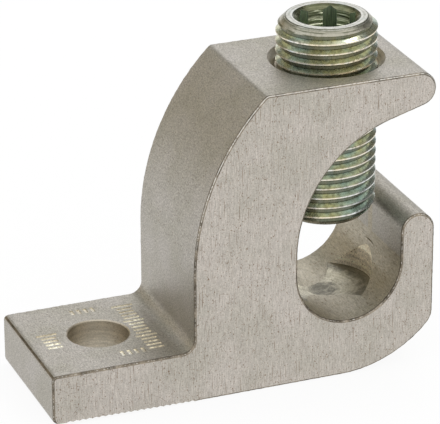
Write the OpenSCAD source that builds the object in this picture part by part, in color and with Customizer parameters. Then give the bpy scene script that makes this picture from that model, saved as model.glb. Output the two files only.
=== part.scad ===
// Lay-in lug: a sawn length of aluminium extrusion with a stud hole in its tongue and an open
// seat for a conductor, and one socket screw that comes down through the top to clamp it.
// Lengths are in millimetres. X runs from the tongue to the lip, Y across the width, Z up.
// The outline is drawn in X and Z from the free end of the tongue, then centred on the origin.

/* [Extrusion] */
// Width of the sawn length
width = 19.05; // [17:0.05:26]
// Height of the flat top above the underside
height = 39.2; // [36:0.1:42]

/* [Tongue] */
// Length from the free end to the wall of the body
tongue_len = 18.5; // [16:0.1:24]
// Thickness of the tongue
tongue_t = 6.8; // [5:0.1:9]
// Radius on the edges of the free end
toe_r = 0.6; // [0.2:0.1:1.2]
// Radius in the corner where the tongue meets the wall
root_r = 1.6; // [0.6:0.1:3]
// Diameter of the stud hole
stud_d = 7.7; // [5:0.1:9]
// Distance from the free end to the middle of the stud hole
stud_setback = 9.3; // [7.5:0.1:11]

/* [Serrated pad] */
// Distance from one tooth to the next
tooth_pitch = 0.84; // [0.6:0.02:1.4]
// Depth of a tooth
tooth_depth = 0.15; // [0.08:0.01:0.3]
// Plain land between the free end and the first tooth
toe_land = 1.7; // [1:0.1:3]
// Height of the pad above the underside where it meets the body
pad_rise = 0.1; // [0.05:0.01:0.4]
// Height of the pad above the underside at the free end
toe_rise = 0.42; // [0.1:0.01:0.8]

/* [Spine and nose] */
// Thickness of the spine between the wall and the seat
spine_t = 13.7; // [11:0.1:16]
// Height at which the wall starts to lean over in an arc
flank_z = 16.7; // [12:0.1:20]
// Radius of the leaning flank
flank_r = 31.3; // [28:0.1:38]
// Radius on the edge between the flank and the top
brow_r = 0.8; // [0.3:0.1:2]
// Radius of the nose over the opening
nose_r = 2.2; // [1.5:0.1:3]
// How far the nose stops short of the outer face of the lip
nose_setback = 0.2; // [0:0.1:2]
// Radius of the arched throat above the seat
throat_r = 17.1; // [15.5:0.1:18]
// How far the highest point of the throat lies below the underside of the nose
throat_drop = 0.5; // [0.1:0.1:2]

/* [Seat and lip] */
// Diameter of the round seat of the conductor
seat_d = 14; // [13:0.1:15]
// Thickness of the floor under the seat
floor_t = 7.45; // [6:0.05:9]
// Thickness of the lip
lip_t = 4.5; // [3:0.1:6]
// Height of the rounded top of the lip
lip_h = 20.4; // [17.5:0.1:21.5]
// Radius of the heel under the lip
heel_r = 16; // [14:0.1:20]
// Distance from the outer face of the lip back to where the heel leaves the underside
heel_run = 12.4; // [10:0.1:13]
// Radius that blends the heel into the outer face
heel_blend_r = 2.7; // [1:0.1:3]

/* [Clamp screw] */
// Outer diameter of the thread
screw_d = 12.65; // [10:0.05:12.8]
// Length of the screw
screw_len = 26.05; // [22:0.05:30]
// Distance from one thread to the next
thread_pitch = 1.27; // [0.8:0.01:1.6]
// How far the axis stands beyond the middle of the seat
screw_offset = 0.65; // [0:0.05:0.65]
// Height of the tip above the floor of the seat at rest
tip_gap = 11.2; // [11:0.1:14]
// Height of the bevel at the driven end
head_bevel = 1.2; // [0.6:0.1:1.6]
// Height of the bevel at the tip
tip_bevel = 1.4; // [0.8:0.1:2]
// Width across the flats of the hexagonal socket
socket_af = 6.9; // [5:0.05:7.4]
// Depth of the socket
socket_depth = 9; // [5:0.1:12]
// Width of the bevel round the mouth of the socket
socket_bevel = 0.72; // [0.1:0.02:0.8]

/* [Screw hole] */
// Radial running clearance between the thread and its hole
run_clear = 0.06; // [0.03:0.01:0.09]
// Width of the bevel round the mouth of the hole
mouth_bevel = 0.95; // [0.3:0.05:1.5]
// Height above the floor of the seat at which the tap stopped
tap_stop = 5.8; // [5:0.1:6]
// Diameter of the drill that marks the floor of the seat
drill_d = 11.5; // [9:0.1:11.6]
// Depth of that mark below the floor
drill_mark = 0.9; // [0.1:0.05:1.2]

/* [Hidden] */
$fn = 96;
// Cuts run this far past the faces that they leave
over = 1;
// Half of the drill point's angle
drill_half_angle = 59;
// Share of the pitch that is flat on the crest and in the root of a thread
crest_share = 1 / 8;
root_share = 1 / 4;
// Half of the angle between the two flanks of a thread
thread_half_angle = 30;
seat_r = seat_d / 2;
seat_left = tongue_len + spine_t;
seat_x = seat_left + seat_r;
seat_z = floor_t + seat_r;
lip_x = seat_left + seat_d;
lip_r = lip_t / 2;
length = lip_x + lip_t;
flank_c = [tongue_len + flank_r, flank_z];
brow_z = height - brow_r;
brow_c = [flank_c.x - leg(flank_r - brow_r, brow_z - flank_z), brow_z];
throat_c = [seat_left + throat_r, height - 2 * nose_r - throat_drop - throat_r];
nose_c = [length - nose_setback - nose_r, height - nose_r];
// Direction square to the line that touches both the throat and the nose
nose_tilt = heading(nose_c - throat_c) + acos((throat_r + nose_r) / norm(nose_c - throat_c));
heel_c = [length - heel_run, heel_r];
heel_blend_x = length - heel_blend_r;
heel_blend_c = [heel_blend_x, heel_r - leg(heel_r - heel_blend_r, heel_blend_x - heel_c.x)];
screw_r = screw_d / 2;
screw_x = seat_x + screw_offset;
tip_z = floor_t + tip_gap;
hole_r = screw_r + run_clear;
mouth_r = hole_r + mouth_bevel;
crest_w = thread_pitch * crest_share;
root_w = thread_pitch * root_share;
flank_w = (thread_pitch - crest_w - root_w) / 2;
thread_depth = flank_w / tan(thread_half_angle);
thread_count = floor((screw_len - head_bevel - tip_bevel) / thread_pitch);
tooth_count = floor((tongue_len - toe_land) / tooth_pitch);

// Third side of a right-angled triangle, from its longest side and one other
function leg(long_side, side) = sqrt(long_side * long_side - side * side);
// Angle of a vector from the X axis
function heading(v) = atan2(v.y, v.x);
// Point at a distance from a centre in the direction of an angle
function polar(centre, radius, angle) = centre + radius * [cos(angle), sin(angle)];
// Height of the pad's tooth tips above the underside
function pad_z(x) = toe_rise + (pad_rise - toe_rise) * x / tongue_len;

// What a rounded edge loses: the corner outside a radius, between two directions
module outside_round(centre, radius, from, to) {
    reach = 2 * radius;
    difference() {
        polygon([centre, polar(centre, reach, from), polar(centre, reach, (from + to) / 2),
            polar(centre, reach, to)]);
        translate(centre) circle(radius);
    }
}

// Tongue with its serrated underside, in X and Z
module tongue_outline() {
    teeth = [for (i = [0 : tooth_count - 1])
        let (tip = toe_land + i * tooth_pitch, gullet = tip + tooth_pitch / 2)
        each [[tip, pad_z(tip)], [gullet, pad_z(gullet) + tooth_depth]]];
    difference() {
        polygon(concat([[0, toe_rise]], teeth,
            [[tongue_len, pad_rise], [tongue_len, tongue_t], [0, tongue_t]]));
        outside_round([toe_r, tongue_t - toe_r], toe_r, 90, 180);
        outside_round([toe_r, toe_rise + toe_r], toe_r, 180, 270);
    }
}

// Concave corner between the tongue and the wall
module root_outline() {
    translate([tongue_len - root_r, tongue_t]) difference() {
        square(root_r);
        translate([0, root_r]) circle(root_r);
    }
}

// Upright lip with its rounded top
module lip_outline() {
    translate([lip_x, 0]) square([lip_t, lip_h - lip_r]);
    translate([lip_x + lip_r, lip_h - lip_r]) circle(lip_r);
}

// Open seat, the arched throat above it and the mouth between nose and lip
module throat_outline() {
    difference() {
        union() {
            translate([seat_x, seat_z]) circle(seat_r);
            intersection() {
                translate([seat_left, seat_z]) square(height);
                union() {
                    translate([seat_left, 0]) square([length, throat_c.y]);
                    translate(throat_c) circle(throat_r);
                }
            }
            polygon([throat_c, polar(throat_c, throat_r, nose_tilt), polar(nose_c, -nose_r, nose_tilt),
                nose_c, [nose_c.x, height + over], [length + over, height + over],
                [length + over, throat_c.y]]);
        }
        translate(nose_c) circle(nose_r);
        lip_outline();
    }
}

// Wall that leans over in an arc towards the top
module flank_outline() {
    difference() {
        translate([tongue_len - over, flank_z]) square([flank_r, height + over - flank_z]);
        translate(flank_c) circle(flank_r);
    }
    outside_round(brow_c, brow_r, 90, heading(brow_c - flank_c));
}

// Rounded heel under the lip
module heel_outline() {
    difference() {
        translate([heel_c.x, -over]) square([heel_run + over, heel_r + over]);
        translate(heel_c) circle(heel_r);
    }
    outside_round(heel_blend_c, heel_blend_r, heading(heel_blend_c - heel_c), 0);
}

// Section of the extrusion, in X and Z
module lug_outline() {
    tongue_outline();
    root_outline();
    difference() {
        translate([tongue_len, 0]) square([length - tongue_len, height]);
        flank_outline();
        throat_outline();
        heel_outline();
    }
}

// Hole of the clamp screw with its bevelled mouth
module screw_hole() {
    low = floor_t + tap_stop;
    translate([screw_x, 0, low]) cylinder(r = hole_r, h = height + over - low);
    translate([screw_x, 0, height - mouth_bevel]) cylinder(r1 = hole_r, r2 = mouth_r, h = mouth_bevel);
}

// Mark that the drill's point leaves in the floor of the seat
module drill_point() {
    point_h = drill_d / 2 / tan(drill_half_angle);
    translate([screw_x, 0, floor_t - drill_mark]) {
        cylinder(r1 = 0, r2 = drill_d / 2, h = point_h);
        translate([0, 0, point_h]) cylinder(d = drill_d, h = seat_r);
    }
}

module lug_body() {
    color("#b7b1a4") translate([-length / 2, 0, 0]) difference() {
        rotate([90, 0, 0]) linear_extrude(width, center = true) lug_outline();
        translate([stud_setback, 0, -over]) cylinder(d = stud_d, h = tongue_t + 2 * over);
        screw_hole();
        drill_point();
    }
}

// Threads as equal rings, in radius and height above the tip
module screw_outline() {
    root_r = screw_r - thread_depth;
    grooves = [for (i = [0 : thread_count - 1])
        let (low = tip_bevel + i * thread_pitch + crest_w / 2, root = low + flank_w)
        each [[screw_r, low], [root_r, root], [root_r, root + root_w],
            [screw_r, root + root_w + flank_w]]];
    polygon(concat([[0, 0], [screw_r - tip_bevel, 0], [screw_r, tip_bevel]], grooves,
        [[screw_r, screw_len - head_bevel], [screw_r - head_bevel, screw_len], [0, screw_len]]));
}

// Hexagonal socket with a bevelled mouth and a drilled end
module socket() {
    flat_r = socket_af / 2;
    corner_r = flat_r / cos(30);
    mouth = flat_r + socket_bevel;
    point_h = flat_r / tan(drill_half_angle);
    translate([0, 0, screw_len - socket_depth]) {
        cylinder(r = corner_r, h = socket_depth + over, $fn = 6);
        translate([0, 0, -point_h]) cylinder(r1 = 0, r2 = flat_r, h = point_h);
        translate([0, 0, socket_depth - socket_bevel]) cylinder(r1 = flat_r, r2 = mouth, h = socket_bevel);
    }
}

module clamp_screw() {
    color("#8d8f68") translate([screw_x - length / 2, 0, tip_z]) difference() {
        rotate_extrude() screw_outline();
        socket();
    }
}

lug_body();
clamp_screw();
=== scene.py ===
"""Looks of a lay-in mechanical lug: a sawn, tin plated extrusion and the socket screw that clamps in it.

The extrusion is an outline that a node tree fills, extrudes and then drills, taps and stamps. The screw is
one sheared grid that a node tree rolls into a bevelled rod with a right-hand helical thread, and then
broaches. The same thread tree makes the tap that cuts the hole, so the two threads mesh. Lengths in the
classes are in millimetres and are turned to metres where a mesh or a node input is made. The frame is the
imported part's: X runs from the tongue to the lip, Y across the sawn width, Z up.
"""

from __future__ import annotations

import logging
import math
from contextlib import contextmanager
from dataclasses import dataclass, field
from enum import Enum
from typing import Iterator, Sequence

import bmesh
import bpy
from mathutils import Matrix, Vector, noise

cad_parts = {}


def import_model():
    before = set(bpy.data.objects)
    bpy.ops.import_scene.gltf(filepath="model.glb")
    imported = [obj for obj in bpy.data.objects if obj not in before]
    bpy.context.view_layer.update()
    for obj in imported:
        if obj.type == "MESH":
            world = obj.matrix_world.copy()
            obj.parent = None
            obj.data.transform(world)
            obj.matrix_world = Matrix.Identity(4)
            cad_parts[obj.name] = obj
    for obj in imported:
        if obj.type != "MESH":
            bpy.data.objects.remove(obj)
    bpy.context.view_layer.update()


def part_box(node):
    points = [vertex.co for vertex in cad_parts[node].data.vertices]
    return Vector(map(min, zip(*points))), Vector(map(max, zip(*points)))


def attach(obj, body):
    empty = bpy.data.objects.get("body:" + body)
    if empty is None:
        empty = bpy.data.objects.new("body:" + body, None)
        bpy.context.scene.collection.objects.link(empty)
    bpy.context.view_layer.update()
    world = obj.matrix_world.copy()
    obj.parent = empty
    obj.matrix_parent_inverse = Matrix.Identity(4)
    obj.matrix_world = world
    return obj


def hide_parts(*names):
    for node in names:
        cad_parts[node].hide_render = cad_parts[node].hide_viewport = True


LOG = logging.getLogger("lug")
MM = 0.001
# Where the screw's axis stands along X
AXIS_X = 14.5
# Vertices nearer to each other than WELD are one, and a vertex nearer to a plane than TOUCH lies in it
WELD = 0.0005 * MM
TOUCH = 0.001 * MM
# Faces that meet at more than this many degrees keep a sharp edge
SHARP = 32

Socket = bpy.types.NodeSocket
NodeTree = bpy.types.NodeTree
Material = bpy.types.Material
Mesh = bpy.types.Mesh
Colour = tuple[float, float, float]
Place = tuple[float, float, float]
# Waves of a noise for each millimetre along X, Y and Z
Waves = tuple[float, float, float]
Point = tuple[float, float]
Span = tuple[float, float]
# What an input socket is fed: an output socket, or a plain value
Feed = object


class Slot(Enum):
    """Material slots of the record."""

    TIN = "tinned_aluminium"
    ZINC = "plated_steel"


class Marks(Enum):
    """How a tool's marks run over a surface."""

    STRAIGHT = "lines along the axes"
    ROUND = "rings round the screw's axis"


# Node trees


class Wiring:
    """Adds nodes to one node tree and joins their sockets."""

    def __init__(self, tree: NodeTree) -> None:
        """Keeps the tree that the nodes go into."""
        self.tree = tree

    def feed(self, socket: Socket, value: Feed) -> None:
        """Joins a socket to another, or sets its value.

        Args:
            socket: The input socket.
            value: An output socket, or a plain value.
        """
        if isinstance(value, Socket):
            self.tree.links.new(value, socket)
        else:
            socket.default_value = value

    def add(self, kind: str, inputs: dict[str | int, Feed] | None = None,
            **settings: object) -> bpy.types.Node:
        """Adds one node.

        Args:
            kind: The node's type.
            inputs: What its input sockets are fed, by name or place.
            settings: The node's own properties.

        Returns:
            The node.
        """
        node = self.tree.nodes.new(kind)
        for name, value in settings.items():
            setattr(node, name, value)
        for key, value in (inputs or {}).items():
            self.feed(node.inputs[key], value)
        return node

    def out(self, kind: str, inputs: dict[str | int, Feed] | None = None, **settings: object) -> Socket:
        """Adds one node as add does and returns its first output."""
        return self.add(kind, inputs, **settings).outputs[0]

    def math(self, operation: str, *values: Feed) -> Socket:
        """Adds a Math node and returns its output."""
        return self.out("ShaderNodeMath", dict(enumerate(values)), operation=operation)

    def vectors(self, operation: str, *values: Feed) -> Socket:
        """Adds a Vector Math node and returns its vector."""
        return self.out("ShaderNodeVectorMath", dict(enumerate(values)), operation=operation)

    def vector(self, x: Feed = 0.0, y: Feed = 0.0, z: Feed = 0.0) -> Socket:
        """Joins three numbers into a vector and returns it."""
        return self.out("ShaderNodeCombineXYZ", {0: x, 1: y, 2: z})

    def split(self, vector: Feed) -> Sequence[Socket]:
        """Returns the X, Y and Z of a vector."""
        return self.add("ShaderNodeSeparateXYZ", {0: vector}).outputs

    def span(self, vector: Feed) -> Socket:
        """Returns the length of a vector."""
        return self.add("ShaderNodeVectorMath", {0: vector}, operation="LENGTH").outputs["Value"]

    def remap(self, value: Feed, low: Feed, high: Feed, to_low: Feed = 0.0, to_high: Feed = 1.0) -> Socket:
        """Maps a value from one range to another, holds it inside and returns it."""
        inputs = dict(enumerate((value, low, high, to_low, to_high)))
        return self.out("ShaderNodeMapRange", inputs, clamp=True)


class ShaderWiring(Wiring):
    """Adds the shading nodes of one material."""

    # Roughness of every grain, waves of what makes a ring change as it goes round, and the rings' octaves
    ROUGH_GRAIN = 0.55
    RING_CHANGE = (0.3, 0.3, 0.3)
    RING_DETAIL = 3.0

    def __init__(self, name: str) -> None:
        """Makes a material with an empty tree.

        Args:
            name: The material's name.
        """
        self.material = bpy.data.materials.new(name)
        self.material.use_nodes = True
        super().__init__(self.material.node_tree)
        self.tree.nodes.clear()
        self.place = self.add("ShaderNodeTexCoord").outputs["Object"]

    def surface(self, shader: Socket) -> Material:
        """Joins a shader to the material's output and returns the material."""
        self.feed(self.add("ShaderNodeOutputMaterial").inputs["Surface"], shader)
        return self.material

    def metal(self, colour: Feed, roughness: Feed, normal: Socket) -> Material:
        """Finishes the material as a metal and returns it."""
        inputs = {"Base Color": colour, "Metallic": 1.0, "Roughness": roughness, "Normal": normal}
        return self.surface(self.out("ShaderNodeBsdfPrincipled", inputs))

    def glow(self, colour: Colour) -> Socket:
        """Returns a shader that shows as a colour in any light."""
        return self.out("ShaderNodeEmission", {"Color": opaque(colour), "Strength": 1.0})

    def stretched(self, scale: Waves, offset: Place = (0, 0, 0)) -> Socket:
        """Returns object coordinates in millimetres times a scale along X, Y and Z, moved by an offset."""
        inputs = {"Vector": self.place, "Location": offset, "Scale": [s / MM for s in scale]}
        return self.out("ShaderNodeMapping", inputs)

    def grain(self, waves: Waves, detail: float = 2, offset: Place = (0, 0, 0)) -> Socket:
        """Returns a noise of so many octaves. The offset makes two patterns of the same waves differ."""
        inputs = {"Vector": self.stretched(waves, offset), "Detail": detail, "Roughness": self.ROUGH_GRAIN}
        return self.out("ShaderNodeTexNoise", {**inputs, "Scale": 1.0})

    def from_axis(self) -> Socket:
        """Returns the distance from the screw's axis in millimetres."""
        return self.span(self.stretched((1, 1, 0), (-AXIS_X, 0, 0)))

    def rings(self, waves: float) -> Socket:
        """Adds a noise that runs in rings round the screw's axis, and level in the stud hole.

        Args:
            waves: Waves for each millimetre.

        Returns:
            The noise's value.
        """
        at = self.split(self.stretched((1, 1, 1)))
        radius = self.math("MULTIPLY", self.from_axis(), self.math("GREATER_THAN", at[0], 0.0))
        ring = self.vector(radius, self.grain(self.RING_CHANGE, 1), at[2])
        return self.out("ShaderNodeTexNoise", {"Vector": ring, "Scale": waves, "Detail": self.RING_DETAIL})

    def mix(self, share: Feed, first: Feed, second: Feed, blend: str = "MIX") -> Socket:
        """Puts a share of a second colour on a first, in the way that blend names, and returns it."""
        inputs = {0: share, 6: opaque(first), 7: opaque(second)}
        return self.add("ShaderNodeMix", inputs, data_type="RGBA", blend_type=blend).outputs[2]

    def tinted(self, colour: Feed, tint: Feed) -> Socket:
        """Returns a colour times a tint."""
        return self.mix(1.0, colour, tint, "MULTIPLY")

    def ramp(self, value: Feed, stops: Sequence[tuple[float, Colour]]) -> Socket:
        """Turns a value into a colour.

        Args:
            value: The value.
            stops: Places from 0 to 1, each with its colour.

        Returns:
            The colour.
        """
        node = self.add("ShaderNodeValToRGB", {0: value})
        while len(node.color_ramp.elements) < len(stops):
            node.color_ramp.elements.new(1)
        for element, (place, colour) in zip(node.color_ramp.elements, stops):
            element.position = place
            element.color = opaque(colour)
        return node.outputs[0]

    def bump(self, height: Feed, depth: float, under: Feed | None = None) -> Socket:
        """Turns a height into a normal.

        Args:
            height: Height from 0 to 1.
            depth: What 1 is in millimetres.
            under: The normal that it goes on.

        Returns:
            The normal.
        """
        inputs = {"Strength": 1.0, "Distance": depth * MM, "Height": height}
        if under is not None:
            inputs["Normal"] = under
        return self.out("ShaderNodeBump", inputs)


def opaque(colour: Feed) -> Feed:
    """Adds an alpha of 1 to a plain colour and leaves a socket as it is."""
    return (*colour, 1.0) if isinstance(colour, tuple) and len(colour) == 3 else colour


class GeometryWiring(Wiring):
    """Adds the nodes of one geometry tree, which has a named input for each of its values."""

    KINDS = {float: "NodeSocketFloat", int: "NodeSocketInt", tuple: "NodeSocketVector",
             Material: "NodeSocketMaterial"}
    # How much longer a long tick is
    LONG = 0.4

    def __init__(self, name: str, values: dict[str, Feed]) -> None:
        """Makes a tree with its group input and output.

        Args:
            name: The tree's name.
            values: Name of each input after the geometry, with a value of its kind.
        """
        super().__init__(bpy.data.node_groups.new(name, "GeometryNodeTree"))
        face = self.tree.interface
        for way in ("OUTPUT", "INPUT"):
            face.new_socket("Geometry", in_out=way, socket_type="NodeSocketGeometry")
        for label, value in values.items():
            kind = next(socket for kind, socket in self.KINDS.items() if isinstance(value, kind))
            face.new_socket(label, in_out="INPUT", socket_type=kind)
        self.given = self.add("NodeGroupInput").outputs
        self.exit = self.add("NodeGroupOutput").inputs[0]

    def of_many(self, kind: str, place: int, parts: Sequence[Socket], **settings: object) -> Socket:
        """Adds a node that takes several geometries in one input.

        Args:
            kind: The node's type.
            place: Place of the input.
            parts: The geometries.
            settings: The node's own properties.

        Returns:
            The node's first output.
        """
        node = self.add(kind, **settings)
        for part in parts:
            self.tree.links.new(part, node.inputs[place])
        return node.outputs[0]

    def moved(self, part: Feed, place: Feed, turn: Sequence[float] = (0, 0, 0)) -> Socket:
        """Turns a geometry in degrees, then moves it, and returns it."""
        inputs = {"Geometry": part, "Translation": place, "Rotation": [math.radians(a) for a in turn]}
        return self.out("GeometryNodeTransform", inputs)

    def raised(self, point: Feed, z: Feed) -> Socket:
        """Returns the place at a height above a point."""
        return self.vectors("ADD", point, self.vector(z=z))

    def welded(self, part: Feed, distance: float) -> Socket:
        """Merges the vertices of a geometry that lie nearer to each other than a distance."""
        return self.out("GeometryNodeMergeByDistance", {"Geometry": part, "Distance": distance})

    def finished(self, part: Feed, finish: str, where: Feed = True) -> Socket:
        """Gives faces of a geometry the material that the input of that name takes, and returns it."""
        inputs = {"Geometry": part, "Selection": where, "Material": self.given[finish]}
        return self.out("GeometryNodeSetMaterial", inputs)

    def shared(self, part: Feed, other: Socket) -> Socket:
        """Returns what two closed meshes have in common."""
        solids = (other, part)
        return self.of_many("GeometryNodeMeshBoolean", 1, solids, operation="INTERSECT", solver="EXACT")

    def machined(self, part: Feed, tools: Sequence[tuple[Socket, str]]) -> Socket:
        """Cuts closed tools out of a closed mesh, one after the other.

        Args:
            part: The mesh.
            tools: Each tool with the name of the finish that it leaves.

        Returns:
            What is left, without instances.
        """
        for tool, finish in tools:
            inputs = {0: part, 1: self.finished(tool, finish)}
            part = self.out("GeometryNodeMeshBoolean", inputs, operation="DIFFERENCE", solver="EXACT")
        return self.out("GeometryNodeRealizeInstances", {0: part})

    def ticks(self, name: str, count: int, long_every: int) -> Socket:
        """Adds a row of closed bars, like the ticks of a rule.

        Args:
            name: What the names of the inputs for its start, its step and a bar's size begin with.
            count: How many bars.
            long_every: Every how many bars one is longer.

        Returns:
            The bars.
        """
        start, step, size = (self.given[f"{name} {part}"] for part in ("Start", "Step", "Size"))
        line = self.out("GeometryNodeMeshLine", {"Count": count, "Start Location": start, "Offset": step})
        number = self.math("ADD", self.out("GeometryNodeInputIndex"), 1)
        is_long = self.math("LESS_THAN", self.math("MODULO", number, long_every), 0.5)
        stretch = self.vector(self.math("ADD", 1.0, self.math("MULTIPLY", is_long, self.LONG)), 1.0, 1.0)
        bars = self.out("GeometryNodeInstanceOnPoints", {
            "Points": line, "Instance": self.out("GeometryNodeMeshCube", {"Size": size}), "Scale": stretch})
        return self.out("GeometryNodeRealizeInstances", {0: bars})

    def frustum(self, low_r: Feed, high_r: Feed, height: Feed, z: Feed, about: Feed = (0, 0, 0),
                sides: int = 96) -> Socket:
        """Returns a closed upright cone or cylinder.

        Args:
            low_r: Radius at its foot.
            high_r: Radius at its top.
            height: Its height.
            z: Height of its foot.
            about: The point that its axis goes through, and that z counts from.
            sides: Sides of its circle.
        """
        inputs = {"Vertices": sides, "Radius Bottom": low_r, "Radius Top": high_r, "Depth": height}
        return self.moved(self.out("GeometryNodeMeshCone", inputs, fill_type="NGON"), self.raised(about, z))

    def rod(self, radius: Feed, height: Feed, z: Feed, about: Feed = (0, 0, 0), sides: int = 96) -> Socket:
        """Returns a closed upright cylinder or prism, given as frustum is."""
        return self.frustum(radius, radius, height, z, about, sides)

    def countersink(self, radius: Feed, bevel: Feed, z: Feed, about: Feed = (0, 0, 0)) -> Socket:
        """Returns the tool that bevels the rim of a hole at 45 degrees and runs on past it."""
        over = self.math("MULTIPLY", bevel, 2.0)
        return self.frustum(radius, self.math("ADD", radius, over), over, z, about)

    def threaded(self, rod_tree: NodeTree) -> Socket:
        """Returns a threaded rod, fed from the tree's own inputs of the same names."""
        names = [item.name for item in rod_tree.interface.items_tree if item.in_out == "INPUT"]
        return self.out("GeometryNodeGroup", {name: self.given[name] for name in names}, node_tree=rod_tree)


def in_metres(sizes: dict[str, float | tuple[float, ...]]) -> dict[str, Feed]:
    """Turns named sizes and places from millimetres to metres."""
    return {name: tuple(side * MM for side in size) if isinstance(size, tuple) else size * MM
            for name, size in sizes.items()}


# Meshes


def placed(name: str, data: bpy.types.ID) -> bpy.types.Object:
    """Puts data in the scene.

    Args:
        name: Name of its object.
        data: The mesh, lamp or camera.

    Returns:
        Its object, at the origin.
    """
    made = bpy.data.objects.new(name, data)
    bpy.context.scene.collection.objects.link(made)
    return made


def plain(name: str, holder: bpy.types.Object) -> Mesh:
    """Turns what an object's modifier makes into a plain mesh and removes the object.

    Args:
        name: Name of the mesh.
        holder: The object.

    Returns:
        The plain mesh, with its materials.
    """
    bpy.context.view_layer.update()
    graph = bpy.context.evaluated_depsgraph_get()
    mesh = bpy.data.meshes.new_from_object(holder.evaluated_get(graph), depsgraph=graph)
    mesh.name = name
    bpy.data.objects.remove(holder)
    return mesh


def modelled(name: str, start: Mesh, tree: NodeTree, values: dict[str, Feed]) -> Mesh:
    """Runs a geometry tree once.

    Args:
        name: Name of the result.
        start: The mesh that the tree is given.
        tree: The tree.
        values: Values of its named inputs.

    Returns:
        The result as a plain mesh.
    """
    holder = placed(name + "_start", start)
    modifier = holder.modifiers.new(name, "NODES")
    modifier.node_group = tree
    ways = {item.name: item.identifier for item in tree.interface.items_tree if item.in_out == "INPUT"}
    for label, value in values.items():
        modifier[ways[label]] = value
    return plain(name, holder)


@contextmanager
def opened(mesh: Mesh) -> Iterator[bmesh.types.BMesh]:
    """Opens a mesh with its doubles merged, and closes it without slivers.

    Args:
        mesh: The mesh.

    Yields:
        Its form that can be changed.
    """
    bm = bmesh.new()
    bm.from_mesh(mesh)
    bmesh.ops.remove_doubles(bm, verts=bm.verts, dist=WELD)
    yield bm
    bmesh.ops.dissolve_degenerate(bm, edges=bm.edges, dist=WELD)
    bm.to_mesh(mesh)
    bm.free()


def bevel(bm: bmesh.types.BMesh, edges: list[bmesh.types.BMEdge], width: float, segments: int,
          material: int = 0) -> None:
    """Bevels edges round, by a width in millimetres, and gives the new faces a material by its place."""
    bmesh.ops.bevel(bm, geom=edges, offset=width * MM, segments=segments, profile=0.5, affect="EDGES",
                    clamp_overlap=False, material=material)


def handed_over(name: str, mesh: Mesh, body: str) -> bpy.types.Object:
    """Smooths a finished mesh by the areas of its faces and puts it in place of a CAD body.

    Args:
        name: Name of the piece.
        mesh: Its mesh.
        body: The CAD body that it rides on, and whose one node it replaces.

    Returns:
        The piece.
    """
    mesh.shade_smooth()
    mesh.set_sharp_from_angle(angle=math.radians(SHARP))
    holder = placed(name + "_flat", mesh)
    smoother = holder.modifiers.new("areas", "WEIGHTED_NORMAL")
    smoother.keep_sharp = True
    smoother.weight = 80
    piece = placed(name, plain(name, holder))
    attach(piece, body)
    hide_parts(body)
    return piece


# Thread


@dataclass(frozen=True)
class Thread:
    """A right-hand helical thread, wound so that crests of every piece that shares it fall together."""

    pitch: float = 1.27
    # Height of a crest above the underside of the lug, on the +X side of the axis
    crest_z: float = 0.28
    # How far the rod runs past each end before it is trimmed
    over: float = 0.15
    rows: int = 16
    columns: int = 96
    # Turns of the grid below the first crest, and turns more than the length needs
    lead: float = 2.5
    spare: int = 4

    def values(self, foot_z: float, length: float, radii: Point, shares: Point) -> dict[str, Feed]:
        """Gives the tree inputs that put the thread on a piece.

        Args:
            foot_z: Height of the piece's foot.
            length: The piece's length.
            radii: Radius of the crest and of the root.
            shares: Share of the pitch that is level on the crest and in the root.

        Returns:
            The inputs, by name.
        """
        return {
            **in_metres({"Pitch": self.pitch, "Start": (self.crest_z - foot_z) % self.pitch,
                         "Length": length, "Over": self.over, "Crest Radius": radii[0],
                         "Root Radius": radii[1]}),
            "Rows": self.rows, "Columns": self.columns, "Turns": math.ceil(length / self.pitch) + self.spare,
            "Crest Share": shares[0], "Root Share": shares[1],
        }

    def rod_tree(self) -> NodeTree:
        """Builds the tree that rolls a sheared grid into a threaded rod, on its foot at the origin.

        Returns:
            The tree, which other trees use as a group.
        """
        # Only the names and kinds of these values count, because each piece feeds the group its own
        tree = GeometryWiring("threaded_rod", self.values(0.0, self.pitch, (1.0, 1.0), (0.0, 0.0)))
        given, m = tree.given, tree.math
        last = m("MULTIPLY", given["Rows"], given["Turns"])
        grid = tree.out("GeometryNodeMeshGrid", {
            "Size X": 1.0, "Size Y": 1.0, "Vertices X": m("ADD", given["Columns"], 1),
            "Vertices Y": m("ADD", last, 1)})
        at = tree.split(tree.out("GeometryNodeInputPosition"))
        around = m("ADD", at[0], 0.5)
        row = m("ROUND", m("MULTIPLY", m("ADD", at[1], 0.5), last))
        turn = m("DIVIDE", row, given["Rows"])
        climb = m("MULTIPLY", m("ADD", m("SUBTRACT", turn, self.lead), around), given["Pitch"])
        low = m("MULTIPLY", given["Over"], -1.0)
        high = m("ADD", given["Length"], given["Over"])
        z = m("MINIMUM", m("MAXIMUM", m("ADD", climb, given["Start"]), low), high)
        from_crest = m("MULTIPLY", m("ABSOLUTE", m("SUBTRACT", m("FRACT", turn), 0.5)), 2.0)
        radius = tree.remap(from_crest, given["Crest Share"], m("SUBTRACT", 1.0, given["Root Share"]),
                            given["Crest Radius"], given["Root Radius"])
        inside = m("MULTIPLY", m("GREATER_THAN", row, 0.5), m("LESS_THAN", row, m("SUBTRACT", last, 0.5)))
        radius = m("MULTIPLY", radius, inside)
        angle = m("MULTIPLY", around, 2 * math.pi)
        x, y = m("MULTIPLY", radius, m("COSINE", angle)), m("MULTIPLY", radius, m("SINE", angle))
        rolled = tree.out("GeometryNodeSetPosition", {"Geometry": grid, "Position": tree.vector(x, y, z)})
        tree.feed(tree.exit, tree.welded(rolled, 2 * TOUCH))
        return tree.tree


# Finishes


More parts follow.
